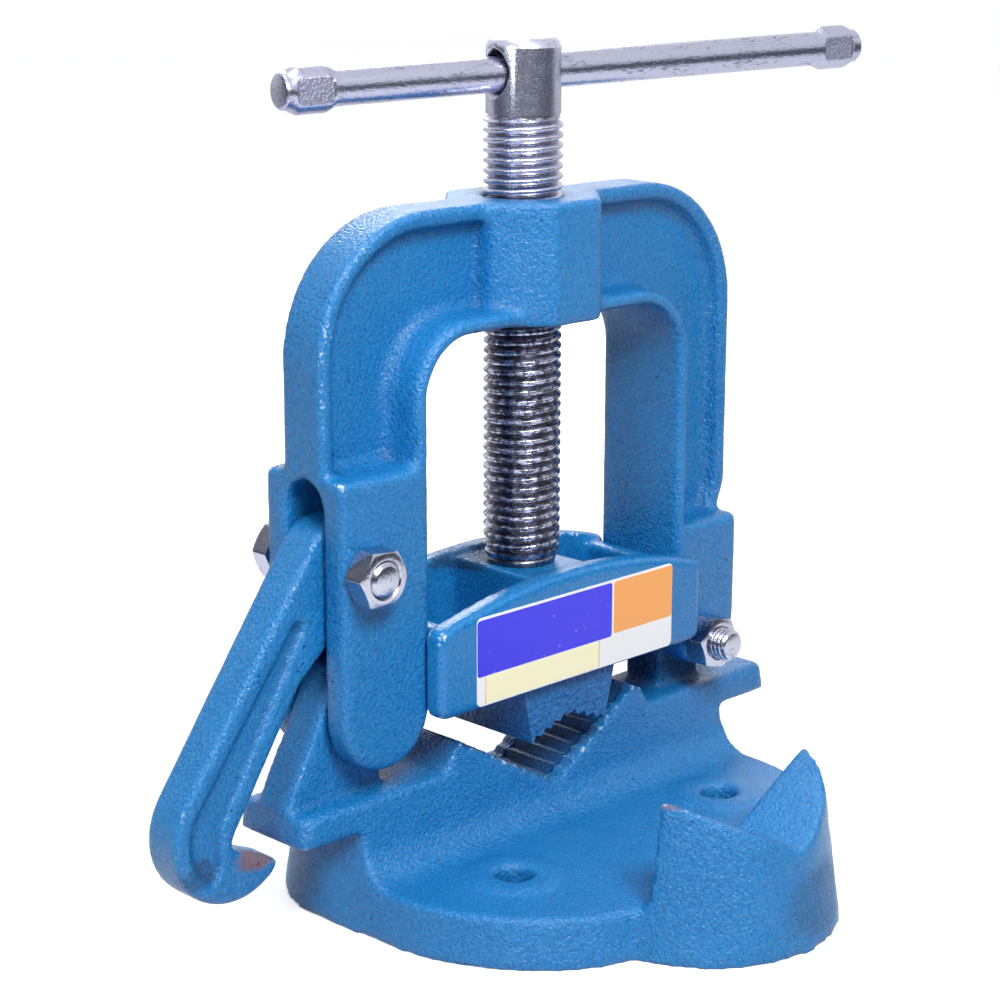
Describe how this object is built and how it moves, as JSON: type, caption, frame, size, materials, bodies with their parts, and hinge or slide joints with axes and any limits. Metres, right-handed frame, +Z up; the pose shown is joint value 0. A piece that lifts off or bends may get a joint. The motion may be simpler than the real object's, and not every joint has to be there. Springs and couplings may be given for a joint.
{
  "type": "pipe vise",
  "caption": "Hinged-yoke bench pipe vise with toothed V jaws, a screw with sliding T-bar, a swinging hook latch and a horned pipe rest.",
  "frame": {"origin": "point of the bench face straight below the clamp screw's axis", "axes": "+Z up along the clamp screw; +Y along the clamped pipe, away from the horned pipe rest; +X from the latch side to the hinge side"},
  "size_m": [0.3244, 0.1875, 0.3045],
  "materials": {
    "blue_enamel": "glossy enamel over sand-cast iron",
    "jaw_steel": "dark hardened steel",
    "zinc_steel": "bright zinc plate"
  },
  "bodies": {
    "base": {"base": "blue_enamel", "lower_jaw": "blue_enamel", "lower_jaw_screw_left": "zinc_steel", "lower_jaw_screw_right": "zinc_steel"},
    "yoke": {"yoke": "blue_enamel", "hinge_bolt": "zinc_steel", "hinge_nut": "zinc_steel", "latch_bolt": "zinc_steel", "latch_nut": "zinc_steel"},
    "latch": {"hook_latch": "blue_enamel"},
    "jaw": {"sliding_jaw": "blue_enamel", "upper_jaw": "blue_enamel", "upper_jaw_pin": "jaw_steel", "screw_pin_left": "jaw_steel", "screw_pin_right": "jaw_steel"},
    "screw": {"clamp_screw": "zinc_steel"},
    "handle": {"handle_bar": "zinc_steel"}
  },
  "joints": [
    {"name": "yoke_swing", "type": "hinge", "parent": "base", "child": "yoke", "pos_m": [0.0815, 0, 0.0681], "axis": [0, 1, 0], "range_deg": [0, 90]},
    {"name": "latch_swing", "type": "hinge", "parent": "yoke", "child": "latch", "pos_m": [-0.0953, 0, 0.1299], "axis": [0, 1, 0], "range_deg": [-9, 60]},
    {"name": "jaw_slide", "type": "slide", "parent": "yoke", "child": "jaw", "axis": [0, 0, 1], "range_m": [-0.0095, 0.08]},
    {"name": "screw_turn", "type": "hinge", "parent": "jaw", "child": "screw", "pos_m": [0, 0, 0.2], "axis": [0, 0, 1], "range_deg": [-942, 7936]},
    {"name": "handle_slide", "type": "slide", "parent": "screw", "child": "handle", "axis": [0.9822, -0.1856, 0.0279], "range_m": [-0.1205, 0.0645]}
  ],
  "couplings": [
    {"joint": "jaw_slide", "follows": "screw_turn", "m_per_rad": 0.00057751}
  ]
}
